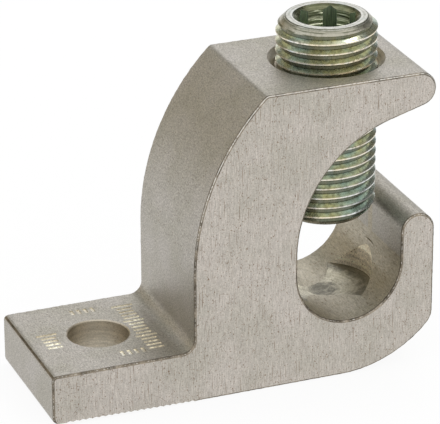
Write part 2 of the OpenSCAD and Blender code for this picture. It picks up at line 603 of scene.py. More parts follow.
@dataclass(frozen=True)
class TinFinish:
    """Matt tin plate over aluminium, marked the way its surface was cut."""

    # Waves of the fine grain, of the clouds and of the ragged rims of the painted light and shade
    FINE = (6.0, 6.0, 5.5)
    CLOUD = (0.17, 0.17, 0.17)
    RAGGED = (0.9, 0.9, 0.9)
    # Between which values of its noise each comes out: tone, patches, specks, scratches and ragged rims
    TONE = (0.34, 0.66)
    PATCHY = (0.38, 0.62)
    SPECKED = (0.655, 0.72)
    SCRATCHED = (0.64, 0.73)
    WANDERING = (0.3, 0.7)
    # How far a rim of the painted light and shade wanders in millimetres, and its blue
    WANDER = 1.1
    PAINTED_LIGHT_BLUE = 0.9
    # Between which tones the roughness changes, and how far it goes each way
    SHEEN_TONES = (0.75, 1.25)
    SHEEN = 0.06

    name: str
    base: Colour
    run: Marks = Marks.STRAIGHT
    # Colour of the patches where the plate has dulled, and of the specks and scratches
    patch: Colour = (0.420, 0.405, 0.350)
    stain: Colour = (0.185, 0.120, 0.072)
    roughness: float = 0.5
    # Share of the grain in the colour, of dark specks, of dark scratches, and depth of the marks
    mottle: float = 0.24
    specks: float = 0.6
    scratches: float = 0.0
    depth: float = 0.012
    # Waves of the marks, of the specks and of the scratches
    marks: Waves = (4.5, 4.5, 0.5)
    dots: Waves = (5.0, 5.0, 4.0)
    lines: Waves = (8.0, 8.0, 0.30)
    # Distances from the screw's axis in millimetres, each with the brightness of the painted light and shade
    # there
    painted_light: tuple[Point, ...] = ()

    def material(self) -> Material:
        """Builds the finish.

        Returns:
            The material.
        """
        w = ShaderWiring(self.name)
        marks = w.rings(self.marks[0]) if self.run is Marks.ROUND else w.grain(self.marks, 2)
        fine = w.grain(self.FINE, 2, (31, 7, 3))
        tone = w.math("MULTIPLY", w.math("ADD", marks, fine), 0.5)
        tone = w.remap(tone, *self.TONE, 1 - self.mottle, 1 + self.mottle)
        colour = w.mix(w.remap(w.grain(self.CLOUD, 3), *self.PATCHY), self.base, self.patch)
        colour = w.tinted(colour, w.vector(tone, tone, tone))
        speck = w.remap(w.grain(self.dots, 1, (5, 19, 2)), *self.SPECKED, 0.0, self.specks)
        line = w.remap(w.grain(self.lines, 1, (2, 3, 11)), *self.SCRATCHED, 0.0, self.scratches)
        colour = w.mix(w.math("MAXIMUM", speck, line), colour, self.stain)
        # Painted shade and highlight in rings round the screw's axis, with ragged rims
        if self.painted_light:
            reach = self.painted_light[-1][0]
            stops = [(radius / reach, (light, light, self.PAINTED_LIGHT_BLUE * light))
                     for radius, light in self.painted_light]
            ragged = w.grain(self.RAGGED, 4, (4, 4, 9))
            ragged = w.remap(ragged, *self.WANDERING, -self.WANDER, self.WANDER)
            share = w.math("DIVIDE", w.math("ADD", w.from_axis(), ragged), reach)
            colour = w.tinted(colour, w.ramp(share, stops))
        rough = w.remap(tone, *self.SHEEN_TONES, self.roughness + self.SHEEN, self.roughness - self.SHEEN)
        return w.metal(colour, rough, w.bump(marks, self.depth, w.bump(fine, self.depth * 0.5)))


@dataclass(frozen=True)
class BurrFinish:
    """Sawn edge rolled over: a painted highlight on its core between lines of painted shade, broken up along
    it.
    """

    name: str = "tin_sawn_edge"
    core: Colour = (0.80, 0.77, 0.71)
    painted_shade: Colour = (0.115, 0.098, 0.075)
    # How many times lighter the painted shade is in worn patches, the patches' waves and where their noise
    # shows
    worn: float = 2.4
    patches: Waves = (0.9, 0.9, 0.9)
    patchy: Span = (0.35, 0.65)
    roughness: float = 0.42
    # Heights between which more painted highlight comes out near the top, how much at each, and what breaks
    # it up
    rise: Span = (19.0, 30.0)
    bright: Span = (0.38, 0.57)
    flicker: Waves = (3.3, 3.3, 3.3)
    lit: Span = (-0.13, 0.10)
    # Vertex attribute that is 1 on the painted highlight's core, and its values at the core's rim and on the
    # core
    attribute: str = "edge_core"
    rim: Span = (0.45, 0.95)
    # Waves and depth of the dents
    dents: Waves = (4, 4, 4)
    depth: float = 0.03

    def material(self) -> Material:
        """Builds the finish.

        Returns:
            The material.
        """
        w = ShaderWiring(self.name)
        core = w.add("ShaderNodeAttribute", attribute_name=self.attribute).outputs["Fac"]
        # Share of painted highlight, growing towards the top and broken up by a noise
        bright = w.remap(w.split(w.place)[2], *(z * MM for z in self.rise), *self.bright)
        flicker = w.math("ADD", w.grain(self.flicker, 4, (3, 1, 4)), bright)
        lit = w.remap(w.math("SUBTRACT", flicker, 1.0), *self.lit)
        worn = w.remap(w.grain(self.patches, 2, (7, 7, 1)), *self.patchy)
        dull = w.mix(worn, self.painted_shade, tuple(self.worn * part for part in self.painted_shade))
        # Painted highlight on the core, between lines of painted shade
        colour = w.mix(w.math("MULTIPLY", w.remap(core, *self.rim), lit), dull, self.core)
        return w.metal(colour, self.roughness, w.bump(w.grain(self.dents, 2), self.depth))


@dataclass(frozen=True)
class ZincFinish:
    """Bright zinc under a thin passivation that drifts along it; painted shade in the thread's root, a
    painted highlight on its crest.
    """

    # Tints of a finish that hardly drifts, where the first tint lies in the noise and the step to the next
    STILL = ((0.97, 1.0, 0.98), (1.0, 0.99, 0.95))
    DRIFT_FROM = 0.36
    DRIFT_STEP = 0.09
    # Waves of the drift
    DRIFT = (0.24, 0.24, 0.07)
    # Shares of the thread's depth at which the flank starts and ends and the crest starts
    DEPTHS = (0.20, 0.86, 0.97)
    # Between which values of its noise each comes out: the gap between the rings, and the scratches
    RINGED = (0.36, 0.56)
    SCRATCHED = (0.48, 0.70)
    SCRATCH_DEPTH = 0.012
    # Between which values of the scratches the roughness changes, and by how much
    SHEEN_AT = (0.3, 0.7)
    SHEEN = (-0.06, 0.12)

    name: str
    # Colours by the thread's depth; by default the dark root is painted shade and the pale crest a painted
    # highlight
    root: Colour = (0.11, 0.11, 0.08)
    flank: Colour = (0.62, 0.66, 0.57)
    crest: Colour = (0.86, 0.83, 0.81)
    drift: tuple[Colour, ...] = (
        (0.90, 1.0, 1.06), (1.03, 1.03, 0.97), (1.12, 1.03, 0.80), (0.94, 1.02, 1.02))
    dark: Colour = (0.10, 0.11, 0.06)
    grime: float = 0.5
    roughness: float = 0.22
    root_r: float = 5.62
    crest_r: float = 6.33
    # Strength of the turned rings, their waves for each millimetre and depth, and the scratches' waves
    rings: float = 0.35
    ring_waves: float = 4.5
    ring_depth: float = 0.002
    lines: Waves = (2.2, 2.2, 0.9)
    # Heights between which the drift shifts, and how far it is shifted at each
    shift_z: Span = (22.0, 38.0)
    shift: Span = (-0.07, 0.01)

    @classmethod
    def even(cls, name: str, colour: Colour, **rest: object) -> ZincFinish:
        """Returns a finish of one colour, for a face that has no thread."""
        return cls(name, colour, colour, colour, cls.STILL, **rest)

    def material(self) -> Material:
        """Builds the finish.

        Returns:
            The material.
        """
        w = ShaderWiring(self.name)
        # Colour by depth: painted shade in the root, a painted highlight on the crest
        depth = w.remap(w.from_axis(), self.root_r, self.crest_r)
        bands = zip((0.0, *self.DEPTHS), (self.root, self.flank, self.flank, self.crest))
        shift = w.remap(w.split(w.place)[2], *(z * MM for z in self.shift_z), *self.shift)
        wander = w.math("ADD", w.grain(self.DRIFT, 3, (1, 8, 5)), shift)
        stops = [(self.DRIFT_FROM + self.DRIFT_STEP * i, tint) for i, tint in enumerate(self.drift)]
        colour = w.tinted(w.ramp(depth, list(bands)), w.ramp(wander, stops))
        ring = w.rings(self.ring_waves)
        colour = w.mix(w.remap(ring, *self.RINGED, self.rings, 0.0), colour, self.dark)
        scratch = w.grain(self.lines, 3, (9, 2, 6))
        colour = w.mix(w.remap(scratch, *self.SCRATCHED, 0.0, self.grime), colour, self.dark)
        rough = w.remap(scratch, *self.SHEEN_AT, *(self.roughness + more for more in self.SHEEN))
        return w.metal(colour, rough, w.bump(ring, self.ring_depth, w.bump(scratch, self.SCRATCH_DEPTH)))


def dressed(finishes: Sequence[TinFinish | ZincFinish]) -> dict[str, Feed]:
    """Builds finishes and names each after the tree input that takes it, as Sawn for tin_sawn."""
    return {finish.name.split("_")[1].capitalize(): finish.material() for finish in finishes}


TIN = (
    TinFinish("tin_sawn", (0.507, 0.470, 0.426), patch=(0.452, 0.424, 0.374), mottle=0.23, specks=0.90,
              scratches=0.80, roughness=0.55, marks=(10.0, 10.0, 0.8), dots=(7.5, 7.5, 4.0),
              lines=(8.5, 8.5, 0.26), depth=0.005),
    TinFinish("tin_skin", (0.490, 0.463, 0.425), patch=(0.440, 0.417, 0.365), mottle=0.30, specks=0.70,
              marks=(6.0, 3.0, 6.0), dots=(6.0, 6.0, 6.0), depth=0.010),
    TinFinish("tin_seat", (0.52, 0.48, 0.40), patch=(0.47, 0.43, 0.34), specks=0.85, scratches=0.4,
              marks=(4.4, 1.1, 4.4), lines=(4.0, 1.1, 4.0)),
    TinFinish("tin_drilled", (0.58, 0.52, 0.42), Marks.ROUND, patch=(0.50, 0.46, 0.38), roughness=0.40,
              specks=0.5, marks=(3.0, 3.0, 3.0)),
    # Painted light round the drill's pocket: painted shade at its middle and by its wall, a painted highlight
    # between
    TinFinish("tin_mark", (0.46, 0.43, 0.38), Marks.ROUND, patch=(0.42, 0.39, 0.33), mottle=0.35,
              roughness=0.36, specks=0.6, marks=(3.4, 3.4, 3.4), depth=0.02,
              painted_light=((0.0, 0.30), (1.1, 0.42), (2.4, 1.0), (3.6, 1.0), (5.1, 0.48), (6.1, 0.46))),
    # The pocket's wall is a much brighter copy of the tin: painted light on a wall that stands in shade
    TinFinish("tin_bored", (0.92, 0.85, 0.70), Marks.ROUND, patch=(0.85, 0.77, 0.62), mottle=0.4,
              roughness=0.60, specks=0.9, marks=(2.2, 2.2, 2.2), depth=0.03),
    TinFinish("tin_stamped", (0.95, 0.92, 0.80), patch=(0.66, 0.61, 0.50), mottle=0.4, roughness=0.32,
              specks=0.8, marks=(3.4, 3.4, 3.4), depth=0.05),
)
PALE = (0.72, 0.72, 0.71)
ZINC = (
    ZincFinish("zinc_thread", rings=0.25),
    ZincFinish("zinc_bevel", PALE, (0.53, 0.51, 0.44), (0.42, 0.40, 0.33), ZincFinish.STILL, root_r=5.1,
               grime=0.3, roughness=0.28, rings=0.80),
    ZincFinish.even("zinc_face", PALE, grime=0.2, roughness=0.42),
    ZincFinish.even("zinc_socket", (0.56, 0.66, 0.54), dark=(0.16, 0.20, 0.15), grime=0.8, roughness=0.30,
                    rings=0.1, lines=(6.0, 6.0, 0.3)),
    ZincFinish.even("zinc_mouth", (0.26, 0.27, 0.17), grime=0.3, roughness=0.24, rings=0.9),
    ZincFinish.even("zinc_pilot", (0.85, 0.88, 0.68), grime=0.2, roughness=0.30, rings=0.95, ring_waves=1.7,
                    ring_depth=0.5),
)


# Lug body


@dataclass
class Outline:
    """The extrusion's outline, walked once round in short steps. X starts at the free end of the tongue."""

    step: float = 0.30
    points: list[Point] = field(default_factory=list)

    def to(self, x: float, z: float) -> None:
        """Walks straight to a point.

        Args:
            x: Distance from the free end of the tongue.
            z: Height above the underside.
        """
        if self.points:
            from_x, from_z = self.points[-1]
            count = max(1, round(math.hypot(x - from_x, z - from_z) / self.step))
            self.points += [(from_x + (x - from_x) * i / count, from_z + (z - from_z) * i / count)
                            for i in range(1, count)]
        self.points.append((x, z))

    def arc(self, centre: Point, radius: float, start: float, end: float) -> None:
        """Walks to an arc and along it.

        Args:
            centre: Its centre.
            radius: Its radius.
            start: Direction of its first point from the centre, in degrees.
            end: Direction of its last point.
        """
        count = max(3, round(abs(math.radians(end - start)) * radius / self.step))
        first = polar(centre, radius, start)
        if not self.points or math.dist(first, self.points[-1]) > 1e-6:
            self.to(*first)
        for i in range(1, count + 1):
            self.points.append(polar(centre, radius, start + (end - start) * i / count))


def polar(centre: Point, radius: float, degrees: float) -> Point:
    """Returns the point at a distance from a centre in a direction."""
    angle = math.radians(degrees)
    return centre[0] + radius * math.cos(angle), centre[1] + radius * math.sin(angle)


def leg(long_side: float, side: float) -> float:
    """Returns the third side of a right-angled triangle, from its longest side and one other."""
    return math.sqrt(long_side * long_side - side * side)


def heading(start: Point, end: Point) -> float:
    """Returns the direction from one point to another, in degrees."""
    return math.degrees(math.atan2(end[1] - start[1], end[0] - start[0]))


@dataclass(frozen=True)
class StampRow:
    """A row of plain bars stamped in the tongue. Places run from its free end and from its middle line."""

    name: str
    start: Point
    step: Point
    count: int
    size: Point
    long_every: int = 5


@dataclass
class LugBody:
    """The sawn length of extrusion with its drilled, tapped and stamped places."""

    # Share of the half width past which a face is a sawn one, and how much wider the drill's point is
    # than its shank, so that their walls don't fall together
    SAWN_FROM = 0.9998
    POINT_OVER = 1.002
    # Waves for each millimetre of the two noises that make the edges ragged, the finer one's share, and
    # how far the whole edge goes in, as a share of the raggedness
    RAGGED = (1.7, 4.1)
    FINER = 0.6
    SUNK = 0.6
    # Height that the pad's teeth stay under, and how near to its corner the tongue's end edge takes the
    # rolled edges' finish
    PAD_TOP = 0.7
    TOE_SHARE = 0.4
    # How far past the wall of the seat a face counts as its wall, and past the pad's end an edge as the pad's
    SEAT_SLACK = 0.01
    PAD_SLACK = 0.05

    length: float
    width: float
    height: float
    thread: Thread
    tongue_len: float = 18.5
    tongue_t: float = 6.8
    toe_r: float = 0.6
    root_r: float = 1.6
    stud_d: float = 7.7
    stud_setback: float = 9.3
    tooth_pitch: float = 0.84
    tooth_depth: float = 0.15
    toe_land: float = 1.7
    pad_rise: float = 0.1
    toe_rise: float = 0.42
    spine_t: float = 13.7
    flank_z: float = 16.7
    flank_r: float = 31.3
    brow_r: float = 0.8
    nose_r: float = 2.2
    nose_setback: float = 0.2
    throat_r: float = 17.1
    throat_drop: float = 0.5
    seat_d: float = 14.0
    floor_t: float = 7.45
    lip_h: float = 20.4
    heel_r: float = 16.0
    heel_run: float = 12.4
    heel_blend_r: float = 2.7
    # The tapped hole: radii of its valleys and ridges, and the shares of the pitch that they take
    hole_r: float = 6.385
    ridge_r: float = 5.80
    valley_share: float = 0.18
    ridge_share: float = 0.29
    mouth_bevel: float = 0.95
    tap_stop: float = 5.8
    # How far above the lip the thread of the hole starts; below it the tap only relieves the lip's wall
    tap_clear: float = 0.8
    # The round tool that made the hole left a shallow dished pocket in the seat
    drill_d: float = 12.2
    drill_mark: float = 0.4
    drill_slope: float = 0.22
    # Plain marks on the tongue: gauge ticks by the wall, and tally bars on the hole's other three sides
    stamps: tuple[StampRow, ...] = (
        StampRow("Gauge", (14.7, -6.3), (0.0, 0.9), 15, (2.0, 0.46)),
        StampRow("Tally", (3.1, -1.8), (0.0, 0.9), 5, (1.9, 0.46)),
        StampRow("Rear", (8.2, 6.7), (0.9, 0.0), 4, (0.44, 1.2)),
        StampRow("Front", (10.2, -6.4), (0.9, 0.0), 4, (0.44, 1.2)),
    )
    stamp_depth: float = 0.09
    # Width that the saw rolled over at each edge, how ragged it is, and how much painted highlight it has
    # beside its core
    saw_edge: float = 0.27
    edge_jitter: float = 0.035
    highlight_falloff: float = 0.45
    stud_bevel: float = 0.14

    def outline(self) -> list[Point]:
        """Walks the section counterclockwise, from the first tooth of the pad.

        Returns:
            Its points, in X and Z.
        """
        path = Outline()
        seat_r = self.seat_d / 2
        seat_left = self.tongue_len + self.spine_t
        seat_c = (seat_left + seat_r, self.floor_t + seat_r)
        lip_x = seat_left + self.seat_d
        lip_r = (self.length - lip_x) / 2
        flank_c = (self.tongue_len + self.flank_r, self.flank_z)
        brow_z = self.height - self.brow_r
        brow_c = (flank_c[0] - leg(self.flank_r - self.brow_r, brow_z - self.flank_z), brow_z)
        throat_c = (seat_left + self.throat_r,
                    self.height - 2 * self.nose_r - self.throat_drop - self.throat_r)
        nose_c = (self.length - self.nose_setback - self.nose_r, self.height - self.nose_r)
        reach = (self.throat_r + self.nose_r) / math.dist(throat_c, nose_c)
        tilt = heading(throat_c, nose_c) + math.degrees(math.acos(reach))
        heel_c = (self.length - self.heel_run, self.heel_r)
        blend_x = self.length - self.heel_blend_r
        blend_c = (blend_x, self.heel_r - leg(self.heel_r - self.heel_blend_r, blend_x - heel_c[0]))
        heel_end = heading(heel_c, blend_c)
        for tooth in range(math.floor((self.tongue_len - self.toe_land) / self.tooth_pitch)):
            tip = self.toe_land + tooth * self.tooth_pitch
            gullet = tip + self.tooth_pitch / 2
            path.points.append((tip, self.pad_z(tip)))
            path.points.append((gullet, self.pad_z(gullet) + self.tooth_depth))
        path.points.append((self.tongue_len, self.pad_rise))
        path.to(self.tongue_len, 0)
        path.arc(heel_c, self.heel_r, -90, heel_end)
        path.arc(blend_c, self.heel_blend_r, heel_end, 0)
        path.arc((lip_x + lip_r, self.lip_h - lip_r), lip_r, 0, 180)
        path.arc(seat_c, seat_r, 0, -180)
        path.arc(throat_c, self.throat_r, 180, tilt)
        path.arc(nose_c, self.nose_r, tilt - 180, 90)
        path.arc(brow_c, self.brow_r, 90, heading(flank_c, brow_c))
        path.arc(flank_c, self.flank_r, heading(flank_c, brow_c), 180)
        path.arc((self.tongue_len - self.root_r, self.tongue_t + self.root_r), self.root_r, 0, -90)
        path.arc((self.toe_r, self.tongue_t - self.toe_r), self.toe_r, 90, 180)
        path.arc((self.toe_r, self.toe_rise + self.toe_r), self.toe_r, 180, 270)
        return path.points

    def pad_z(self, x: float) -> float:
        """Returns the height of the pad's tooth tips above the underside."""
        return self.toe_rise + (self.pad_rise - self.toe_rise) * x / self.tongue_len

    def wire(self) -> Mesh:
        """Draws the outline.

        Returns:
            A closed line of edges in X and Y, in metres.
        """
        points = [((x - self.length / 2) * MM, z * MM, 0.0) for x, z in self.outline()]
        mesh = bpy.data.meshes.new("lug_section")
        mesh.from_pydata(points, [(i, (i + 1) % len(points)) for i in range(len(points))], [])
        return mesh

    def values(self) -> dict[str, Feed]:
        """Gives the inputs of the body's tree.

        Returns:
            The inputs, by name.
        """
        tap_foot = self.lip_h + self.tap_clear
        seat_r = self.seat_d / 2
        mid = self.length / 2
        sizes = {
            "Width": self.width,
            "Height": self.height,
            "Seat Place": (self.tongue_len + self.spine_t + seat_r - mid, 0.0, self.floor_t + seat_r),
            "Seat Reach": seat_r + self.SEAT_SLACK,
            "Stud Place": (self.stud_setback - mid, 0.0, 0.0),
            "Stud Foot": -1.0,
            "Stud Rim": self.tongue_t - self.stud_bevel,
            "Stud Radius": self.stud_d / 2,
            "Stud Bevel": self.stud_bevel,
            "Axis": (AXIS_X, 0.0, 0.0),
            "Tap Foot": tap_foot,
            "Relief Foot": self.floor_t + self.tap_stop,
            "Mouth Bevel": self.mouth_bevel,
            "Drill Foot": self.floor_t - self.drill_mark,
            "Drill Radius": self.drill_d / 2,
        }
        for row in self.stamps:
            sizes[f"{row.name} Start"] = (row.start[0] - mid, row.start[1], self.tongue_t)
            sizes[f"{row.name} Step"] = (*row.step, 0.0)
            sizes[f"{row.name} Size"] = (*row.size, 2 * self.stamp_depth)
        thread = self.thread.values(tap_foot, self.height - tap_foot + self.thread.pitch,
                                    (self.hole_r, self.ridge_r), (self.valley_share, self.ridge_share))
        return {**in_metres(sizes), "Drill Slope": self.drill_slope, **thread, **dressed(TIN)}

    def tree(self, rod_tree: NodeTree, values: dict[str, Feed]) -> NodeTree:
        """Builds the tree that extrudes the outline and cuts the holes.

        Args:
            rod_tree: Tree of the threaded rod, which is the tap here.
            values: The tree's inputs.

        Returns:
            The tree.
        """
        tree = GeometryWiring("lug_body", values)
        given, m = tree.given, tree.math
        near = tree.vectors("SUBTRACT", tree.out("GeometryNodeInputPosition"), given["Seat Place"])
        reach = tree.span(tree.vectors("MULTIPLY", near, (1, 0, 1)))
        block = tree.finished(tree.finished(self.extruded(tree), "Skin"), "Seat",
                              m("LESS_THAN", reach, given["Seat Reach"]))
        stud_r, stud = given["Stud Radius"], given["Stud Place"]
        stud_hole = tree.rod(stud_r, m("MULTIPLY", given["Height"], 0.5), given["Stud Foot"], stud)
        stud_rim = tree.countersink(stud_r, given["Stud Bevel"], given["Stud Rim"], stud)
        axis, hole_r, drill_r = given["Axis"], given["Crest Radius"], given["Drill Radius"]
        tap = tree.moved(tree.threaded(rod_tree), tree.raised(axis, given["Tap Foot"]))
        relief = tree.rod(hole_r, m("SUBTRACT", given["Tap Foot"], given["Relief Foot"]),
                          given["Relief Foot"], axis)
        mouth = tree.countersink(hole_r, given["Mouth Bevel"],
                                 m("SUBTRACT", given["Height"], given["Mouth Bevel"]), axis)
        point_r = m("MULTIPLY", drill_r, self.POINT_OVER)
        point = tree.frustum(0.0, point_r, m("MULTIPLY", point_r, given["Drill Slope"]),
                             given["Drill Foot"], axis)
        shank_foot = m("ADD", m("MULTIPLY", drill_r, given["Drill Slope"]), given["Drill Foot"])
        shank_top = m("ADD", given["Relief Foot"], given["Mouth Bevel"])
        shank = tree.rod(drill_r, m("SUBTRACT", shank_top, shank_foot), shank_foot, axis)
        bars = [(tree.ticks(row.name, row.count, row.long_every), "Stamped") for row in self.stamps]
        solid = tree.machined(block, [(relief, "Seat"), (stud_hole, "Drilled"), (stud_rim, "Drilled"),
                                      (tap, "Drilled"), (mouth, "Drilled"), (point, "Mark"),
                                      (shank, "Bored"), *bars])
        side = m("ABSOLUTE", tree.split(tree.out("GeometryNodeInputPosition"))[1])
        sawn = m("GREATER_THAN", side, m("MULTIPLY", given["Width"], self.SAWN_FROM / 2))
        tree.feed(tree.exit, tree.finished(solid, "Sawn", sawn))
        return tree.tree

    @staticmethod
    def extruded(tree: GeometryWiring) -> Socket:
        """Adds the nodes that fill the outline, extrude it across the width and stand it up.

        Args:
            tree: The tree that is given the outline.

        Returns:
            The closed block.
        """
        curve = tree.out("GeometryNodeMeshToCurve", {0: tree.given["Geometry"]})
        face = tree.out("GeometryNodeFillCurve", {0: curve}, mode="NGONS")
        width = tree.given["Width"]
        rise = {"Mesh": face, "Offset": tree.vector(z=width), "Individual": False}
        walls = tree.out("GeometryNodeExtrudeMesh", rise, mode="FACES")
        foot = tree.out("GeometryNodeFlipFaces", {0: face})
        closed = tree.welded(tree.of_many("GeometryNodeJoinGeometry", 0, (walls, foot)), TOUCH)
        return tree.moved(closed, tree.vector(y=tree.math("MULTIPLY", width, 0.5)), (90, 0, 0))

    def build(self, rod_tree: NodeTree) -> bpy.types.Object:
        """Makes the body, rolls its edges over and hands it to its CAD body.

        Args:
            rod_tree: Tree of the threaded rod.

        Returns:
            The finished piece.
        """
        values = self.values()
        mesh = modelled("lug_extrusion", self.wire(), self.tree(rod_tree, values), values)
        self.roll_edges(mesh, BurrFinish().material())
        return handed_over("lug_extrusion", mesh, "lug_body")

    def roll_edges(self, mesh: Mesh, finish: Material) -> None:
        """Rolls the sawn edges over, makes them ragged and marks the core of each, where the highlight is
        painted.

        Args:
            mesh: The body's mesh.
            finish: The material of the rolled edges.
        """
        mesh.materials.append(finish)
        place = len(mesh.materials) - 1
        sawn = mesh.materials.find("tin_sawn")
        half = self.width / 2 * MM
        with opened(mesh) as bm:
            outer = [e for e in bm.edges if all(abs(abs(v.co.y) - half) < TOUCH for v in e.verts)
                     and len({f.material_index == sawn for f in e.link_faces}) == 2 and not self.in_pad(e)]
            bevel(bm, outer, self.saw_edge, 4, place)
            core = bm.verts.layers.float.new(BurrFinish.attribute)
            rolled = {v for v in bm.verts
                      if v.link_faces and all(f.material_index == place for f in v.link_faces)}
            for face in bm.faces:
                if self.on_toe(face):
                    face.material_index = place
            for vert in rolled:
                inner = all(e.other_vert(vert) in rolled for e in vert.link_edges)
                vert[core] = 1.0 if inner else self.highlight_falloff
                broad, fine = (noise.noise(vert.co / MM * waves) for waves in self.RAGGED)
                vert.co -= vert.normal * (self.edge_jitter * MM * (self.SUNK + broad + self.FINER * fine))

    def in_pad(self, edge: bmesh.types.BMEdge) -> bool:
        """Tells whether an edge is one of the pad's teeth."""
        pad_end = (self.tongue_len - self.length / 2 + self.PAD_SLACK) * MM
        return all(v.co.z < self.PAD_TOP * MM and v.co.x < pad_end for v in edge.verts)

    def on_toe(self, face: bmesh.types.BMFace) -> bool:
        """Tells whether a face is the middle of the rounded edge at the tongue's free end, which is darkened.
        """
        x, _, z = face.calc_center_median() / MM
        return max(abs(x + self.length / 2), abs(z - self.tongue_t)) < self.TOE_SHARE * self.toe_r


# Clamp screw


@dataclass
class ClampScrew:
    """The socket screw: a threaded rod with bevelled ends and a broached hexagon."""

    # How upright the normal of a top face is, and half the angle between two corners of a hexagon
    UPRIGHT = 0.98
    HEX_HALF = math.radians(30)

    low_z: float
    high_z: float
    radius: float
    thread: Thread
    thread_depth: float = 0.6875
    crest_share: float = 0.125
    root_share: float = 0.25
    head_bevel: float = 1.2
    tip_bevel: float = 1.4
    socket_af: float = 6.9
    socket_depth: float = 9.0
    socket_bevel: float = 0.72
    # Radius of the pilot hole that the hexagon was broached in, as a share of half the width across flats
    pilot: float = 1.04
    drill_half_angle: float = 59.0
    # Width of the broken edges at the two ends, and the turn between faces that makes an edge sharp
    end_edge: float = 0.08
    edge_turn: float = 0.5

    def values(self) -> dict[str, Feed]:
        """Gives the inputs of the screw's tree.

        Returns:
            The inputs, by name.
        """
        flat = self.socket_af / 2
        sizes = {
            "Foot Radius": self.radius - self.tip_bevel,
            "Top Radius": self.radius - self.head_bevel,
            "Foot": (AXIS_X, 0.0, self.low_z),
            "Socket Radius": flat / math.cos(self.HEX_HALF),
            "Socket Depth": self.socket_depth,
            "Socket Bevel": self.socket_bevel,
            "Socket Point": flat / math.tan(math.radians(self.drill_half_angle)),
            "Pilot Radius": flat * self.pilot,
        }
        thread = self.thread.values(self.low_z, self.high_z - self.low_z,
                                    (self.radius, self.radius - self.thread_depth),
                                    (self.crest_share, self.root_share))
        return {**in_metres(sizes), **thread, **dressed(ZINC)}

    def tree(self, rod_tree: NodeTree, values: dict[str, Feed]) -> NodeTree:
        """Builds the tree that threads the rod and broaches its socket.

        Args:
            rod_tree: Tree of the threaded rod.
            values: The tree's inputs.

        Returns:
            The tree.
        """
        tree = GeometryWiring("clamp_screw", values)
        given, m = tree.given, tree.math
        length, depth, sunk = given["Length"], given["Socket Depth"], given["Socket Bevel"]
        blank = tree.finished(tree.threaded(rod_tree), "Thread")
        # Each cone trims one end and runs past the other, so that no two cut faces lie in one plane
        past = m("ADD", length, given["Over"])
        head = tree.frustum(m("ADD", given["Top Radius"], past), given["Top Radius"], past,
                            m("MULTIPLY", given["Over"], -1.0))
        tip = tree.frustum(given["Foot Radius"], m("ADD", given["Foot Radius"], past), past, 0.0)
        for cone in (head, tip):
            blank = tree.shared(blank, tree.finished(cone, "Bevel"))
        flat = m("MULTIPLY", given["Socket Radius"], math.cos(self.HEX_HALF))
        foot = m("SUBTRACT", length, depth)
        rim = m("SUBTRACT", length, sunk)
        hexagon = tree.rod(given["Socket Radius"], m("ADD", depth, m("MULTIPLY", sunk, 2.0)), foot, sides=6)
        point = tree.frustum(0.0, flat, given["Socket Point"], m("SUBTRACT", foot, given["Socket Point"]),
                             sides=48)
        pilot = tree.rod(given["Pilot Radius"], depth, foot)
        solid = tree.moved(tree.machined(blank, [
            (hexagon, "Socket"), (point, "Socket"), (pilot, "Pilot"),
            (tree.countersink(flat, sunk, rim), "Mouth")]), given["Foot"])
        normal = tree.split(tree.out("GeometryNodeInputNormal"))[2]
        place = tree.split(tree.out("GeometryNodeInputPosition"))[2]
        high = m("GREATER_THAN", place, m("ADD", rim, self.low_z * MM))
        top = m("MULTIPLY", m("GREATER_THAN", normal, self.UPRIGHT), high)
        whole = tree.out("GeometryNodeRealizeInstances", {0: solid})
        tree.feed(tree.exit, tree.finished(whole, "Face", top))
        return tree.tree

    def build(self, rod_tree: NodeTree) -> bpy.types.Object:
        """Makes the screw and hands it to its CAD body.

        Args:
            rod_tree: Tree of the threaded rod.

        Returns:
            The finished piece.
        """
        values = self.values()
        start = bpy.data.meshes.new("screw_start")
        mesh = modelled("screw_threaded", start, self.tree(rod_tree, values), values)
        self.break_edges(mesh)
        return handed_over("screw_threaded", mesh, "clamp_screw")

    def break_edges(self, mesh: Mesh) -> None:
        """Breaks the sharp edges at both ends.

        Args:
            mesh: The screw's mesh.
        """
        ends = (self.low_z * MM, self.high_z * MM)
        with opened(mesh) as bm:
            rims = [e for e in bm.edges if len(e.link_faces) == 2 and e.calc_face_angle(0) > self.edge_turn
                    and any(all(abs(v.co.z - z) < TOUCH for v in e.verts) for z in ends)]
            bevel(bm, rims, self.end_edge, 2)


# Studio


@dataclass(frozen=True)
class Lamp:
    """One soft white lamp that looks at the lug."""

    name: str
    place: Place
    size: Span
    power: float


@dataclass(frozen=True)
class Card:
    """One dark card that shows only in reflections."""

    name: str
    place: Place
    size: Span
    tone: Colour


